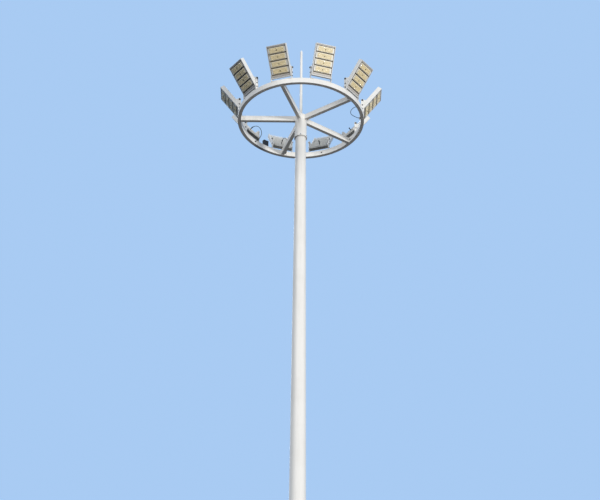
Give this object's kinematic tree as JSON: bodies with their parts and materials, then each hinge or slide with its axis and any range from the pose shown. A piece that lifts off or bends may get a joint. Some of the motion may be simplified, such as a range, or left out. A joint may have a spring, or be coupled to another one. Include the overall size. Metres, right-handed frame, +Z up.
{
  "type": "high mast floodlight tower",
  "caption": "White tapered steel high mast with a spoked lamp ring at its top, LED floodlights on tilting brackets round the ring, a lightning rod and a bolted base flange",
  "frame": {"origin": "middle of the base flange's underside", "axes": "+Z up along the mast, -Y the side that the picture shows, +X to that view's right"},
  "size_m": [2.9078, 2.8736, 21.54],
  "materials": {
    "white_paint": "satin",
    "light_housing": "satin",
    "lens": "gloss",
    "black_nut": "satin",
    "black_box": "matte",
    "gland": "matte",
    "cable": "matte"
  },
  "bodies": {
    "tower": {"base_flange": "white_paint", "base_ribs": "white_paint", "mast_lower": "white_paint", "mast_upper": "white_paint", "door_frame": "white_paint", "service_door": "white_paint", "hub_sleeve": "white_paint", "head_cap": "white_paint", "lightning_rod": "white_paint", "lamp_ring": "white_paint", "spoke_1": "white_paint", "spoke_2": "white_paint", "spoke_3": "white_paint", "spoke_4": "white_paint", "spoke_5": "white_paint", "bracket_1": "white_paint", "bracket_2": "white_paint", "bracket_3": "white_paint", "bracket_4": "white_paint", "bracket_5": "white_paint", "bracket_6": "white_paint", "bracket_7": "white_paint", "bracket_8": "white_paint", "bracket_9": "white_paint", "bracket_10": "white_paint", "clamp_nuts": "black_nut", "junction_box": "black_box", "ring_glands": "gland", "lamp_cables": "cable"},
    "floodlight_1": {"housing_1": "light_housing", "led_modules_1": "lens"},
    "floodlight_2": {"housing_2": "light_housing", "led_modules_2": "lens"},
    "floodlight_3": {"housing_3": "light_housing", "led_modules_3": "lens"},
    "floodlight_4": {"housing_4": "light_housing", "led_modules_4": "lens"},
    "floodlight_5": {"housing_5": "light_housing", "led_modules_5": "lens"},
    "floodlight_6": {"housing_6": "light_housing", "led_modules_6": "lens"},
    "floodlight_7": {"housing_7": "light_housing", "led_modules_7": "lens"},
    "floodlight_8": {"housing_8": "light_housing", "led_modules_8": "lens"},
    "floodlight_9": {"housing_9": "light_housing", "led_modules_9": "lens"},
    "floodlight_10": {"housing_10": "light_housing", "led_modules_10": "lens"}
  },
  "joints": [
    {"name": "tilt_1", "type": "hinge", "parent": "tower", "child": "floodlight_1", "pos_m": [0.33992, -1.04616, 20.25], "axis": [0.9511, 0.309, 0], "range_deg": [-27, 53]},
    {"name": "tilt_2", "type": "hinge", "parent": "tower", "child": "floodlight_2", "pos_m": [0.88992, -0.64656, 20.25], "axis": [0.5878, 0.809, 0], "range_deg": [-36, 44]},
    {"name": "tilt_3", "type": "hinge", "parent": "tower", "child": "floodlight_3", "pos_m": [1.1, 0, 20.25], "axis": [0, 1, 0], "range_deg": [-36, 44]},
    {"name": "tilt_4", "type": "hinge", "parent": "tower", "child": "floodlight_4", "pos_m": [0.88992, 0.64656, 20.25], "axis": [-0.5878, 0.809, 0], "range_deg": [-36, 44]},
    {"name": "tilt_5", "type": "hinge", "parent": "tower", "child": "floodlight_5", "pos_m": [0.33992, 1.04616, 20.25], "axis": [-0.9511, 0.309, 0], "range_deg": [-36, 44]},
    {"name": "tilt_6", "type": "hinge", "parent": "tower", "child": "floodlight_6", "pos_m": [-0.33992, 1.04616, 20.25], "axis": [-0.9511, -0.309, 0], "range_deg": [-36, 44]},
    {"name": "tilt_7", "type": "hinge", "parent": "tower", "child": "floodlight_7", "pos_m": [-0.88992, 0.64656, 20.25], "axis": [-0.5878, -0.809, 0], "range_deg": [-36, 44]},
    {"name": "tilt_8", "type": "hinge", "parent": "tower", "child": "floodlight_8", "pos_m": [-1.1, 0, 20.25], "axis": [0, -1, 0], "range_deg": [-36, 44]},
    {"name": "tilt_9", "type": "hinge", "parent": "tower", "child": "floodlight_9", "pos_m": [-0.88992, -0.64656, 20.25], "axis": [0.5878, -0.809, 0], "range_deg": [-36, 44]},
    {"name": "tilt_10", "type": "hinge", "parent": "tower", "child": "floodlight_10", "pos_m": [-0.33992, -1.04616, 20.25], "axis": [0.9511, -0.309, 0], "range_deg": [-36, 44]}
  ]
}
